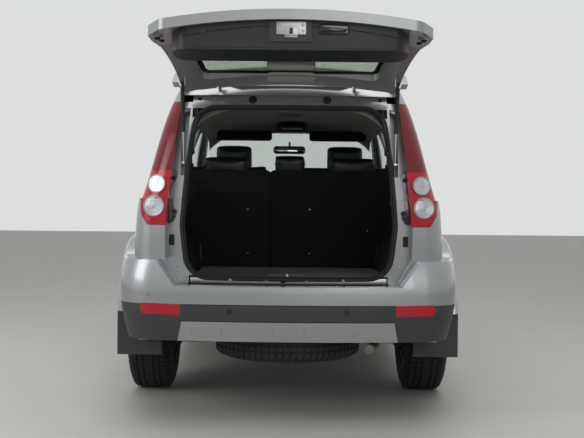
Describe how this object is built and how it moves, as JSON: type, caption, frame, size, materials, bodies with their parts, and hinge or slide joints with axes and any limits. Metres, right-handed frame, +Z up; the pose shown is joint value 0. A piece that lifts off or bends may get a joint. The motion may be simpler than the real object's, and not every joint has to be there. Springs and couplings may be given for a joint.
{
  "type": "sport utility vehicle",
  "caption": "Mid-size sport utility vehicle with side doors, a raised tailgate on gas struts, an open cargo space, steering and rolling wheels.",
  "frame": {"origin": "on the ground under the centre of the whole vehicle, its open tailgate included", "axes": "+Y towards the vehicle's nose, +X its right side, +Z up"},
  "size_m": [2.0556, 5.2828, 1.848],
  "materials": {
    "paint": "metallic silver paint, clear coated",
    "frame_black": "black chassis coating",
    "black_plastic": "grained black plastic",
    "chrome_bar": "bright plating over plastic",
    "clear_lamp": "clear lamp lens",
    "window_glass": "green tinted safety glass",
    "red_lamp": "red lamp lens",
    "silver_plastic": "matte silver painted plastic",
    "seal_rubber": "black rubber seal",
    "cast_metal": "cast and forged steel",
    "steel": "bare steel",
    "alloy": "silver painted alloy",
    "tyre": "tyre rubber",
    "cloth": "black woven seat cloth",
    "dash_plastic": "soft grained dark plastic"
  },
  "bodies": {
    "vehicle": {"frame_rails": "frame_black", "cross_members": "frame_black", "floor_pan": "paint", "body_side_right": "paint", "body_side_left": "paint", "roof_panel": "paint", "front_fenders": "paint", "front_bumper": "paint", "grille": "chrome_bar", "headlamps": "clear_lamp", "cowl_panel": "black_plastic", "fixed_glass": "window_glass", "rear_lamps": "red_lamp", "rear_bumper": "paint", "bumper_strip": "black_plastic", "skid_plate": "silver_plastic", "roof_rails": "black_plastic", "gate_seal": "seal_rubber", "mud_flaps": "black_plastic", "dashboard": "dash_plastic", "front_seats": "cloth", "rear_seat": "cloth", "powertrain_block": "cast_metal", "fuel_tank": "black_plastic", "exhaust": "steel", "rear_axle": "cast_metal", "front_suspension": "cast_metal", "spare_wheel": "tyre"},
    "hood": {"hood": "paint"},
    "steering_wheel": {"steering_wheel": "dash_plastic"},
    "tailgate": {"tailgate": "paint", "tailgate_lining": "black_plastic", "tailgate_glass": "window_glass"},
    "strut_cylinders": {"strut_cylinders": "black_plastic"},
    "strut_rods": {"strut_rods": "steel"},
    "door_front_right": {"door_front_right": "paint", "glass_front_right": "window_glass"},
    "door_rear_right": {"door_rear_right": "paint", "glass_rear_right": "window_glass"},
    "knuckle_right": {"knuckle_right": "cast_metal"},
    "wheel_front_right": {"tyre_front_right": "tyre", "rim_front_right": "alloy"},
    "wheel_rear_right": {"tyre_rear_right": "tyre", "rim_rear_right": "alloy"},
    "door_front_left": {"door_front_left": "paint", "glass_front_left": "window_glass"},
    "door_rear_left": {"door_rear_left": "paint", "glass_rear_left": "window_glass"},
    "knuckle_left": {"knuckle_left": "cast_metal"},
    "wheel_front_left": {"tyre_front_left": "tyre", "rim_front_left": "alloy"},
    "wheel_rear_left": {"tyre_rear_left": "tyre", "rim_rear_left": "alloy"}
  },
  "joints": [
    {"name": "door_front_right_hinge", "type": "hinge", "parent": "vehicle", "child": "door_front_right", "pos_m": [0.836, 1.16615, 0.7], "axis": [0, 0, 1], "range_deg": [0, 65]},
    {"name": "door_rear_right_hinge", "type": "hinge", "parent": "vehicle", "child": "door_rear_right", "pos_m": [0.846, 0.05215, 0.7], "axis": [0, 0, 1], "range_deg": [0, 65]},
    {"name": "steer_right", "type": "hinge", "parent": "vehicle", "child": "knuckle_right", "pos_m": [0.73, 1.77615, 0.3685], "axis": [0, 0, 1], "range_deg": [-30, 30]},
    {"name": "wheel_front_right_spin", "type": "hinge", "parent": "knuckle_right", "child": "wheel_front_right", "pos_m": [0.76, 1.77615, 0.3685], "axis": [1, 0, 0], "continuous": true},
    {"name": "wheel_rear_right_spin", "type": "hinge", "parent": "vehicle", "child": "wheel_rear_right", "pos_m": [0.76, -0.92385, 0.3685], "axis": [1, 0, 0], "continuous": true},
    {"name": "door_front_left_hinge", "type": "hinge", "parent": "vehicle", "child": "door_front_left", "pos_m": [-0.836, 1.16615, 0.7], "axis": [0, 0, -1], "range_deg": [0, 65]},
    {"name": "door_rear_left_hinge", "type": "hinge", "parent": "vehicle", "child": "door_rear_left", "pos_m": [-0.846, 0.05215, 0.7], "axis": [0, 0, -1], "range_deg": [0, 65]},
    {"name": "steer_left", "type": "hinge", "parent": "vehicle", "child": "knuckle_left", "pos_m": [-0.73, 1.77615, 0.3685], "axis": [0, 0, 1], "range_deg": [-30, 30]},
    {"name": "wheel_front_left_spin", "type": "hinge", "parent": "knuckle_left", "child": "wheel_front_left", "pos_m": [-0.76, 1.77615, 0.3685], "axis": [1, 0, 0], "continuous": true},
    {"name": "wheel_rear_left_spin", "type": "hinge", "parent": "vehicle", "child": "wheel_rear_left", "pos_m": [-0.76, -0.92385, 0.3685], "axis": [1, 0, 0], "continuous": true},
    {"name": "hood_hinge", "type": "hinge", "parent": "vehicle", "child": "hood", "pos_m": [0, 1.25215, 1.014], "axis": [1, 0, 0], "range_deg": [0, 50]},
    {"name": "tailgate_hinge", "type": "hinge", "parent": "vehicle", "child": "tailgate", "pos_m": [0, -1.67185, 1.642], "axis": [1, 0, 0], "range_deg": [0, 89]},
    {"name": "strut_swing", "type": "hinge", "parent": "tailgate", "child": "strut_cylinders", "pos_m": [0, -1.8237, 1.63235], "axis": [1, 0, 0], "range_deg": [-119.5, 0]},
    {"name": "strut_slide", "type": "slide", "parent": "strut_cylinders", "child": "strut_rods", "axis": [0, 0.2118, -0.9773], "range_m": [-0.1405, 0]},
    {"name": "steering_wheel_turn", "type": "hinge", "parent": "vehicle", "child": "steering_wheel", "pos_m": [-0.37, 0.54615, 0.968], "axis": [0, -0.9135, 0.4067], "range_deg": [-481, 481]}
  ],
  "couplings": [
    {"joint": "steer_right", "follows": "steer_left", "ratio": 1},
    {"joint": "steering_wheel_turn", "follows": "steer_left", "ratio": 16},
    {"joint": "strut_swing", "follows": "tailgate_hinge", "ratio": -1.3348},
    {"joint": "strut_slide", "follows": "tailgate_hinge", "m_per_rad": -0.089791}
  ]
}
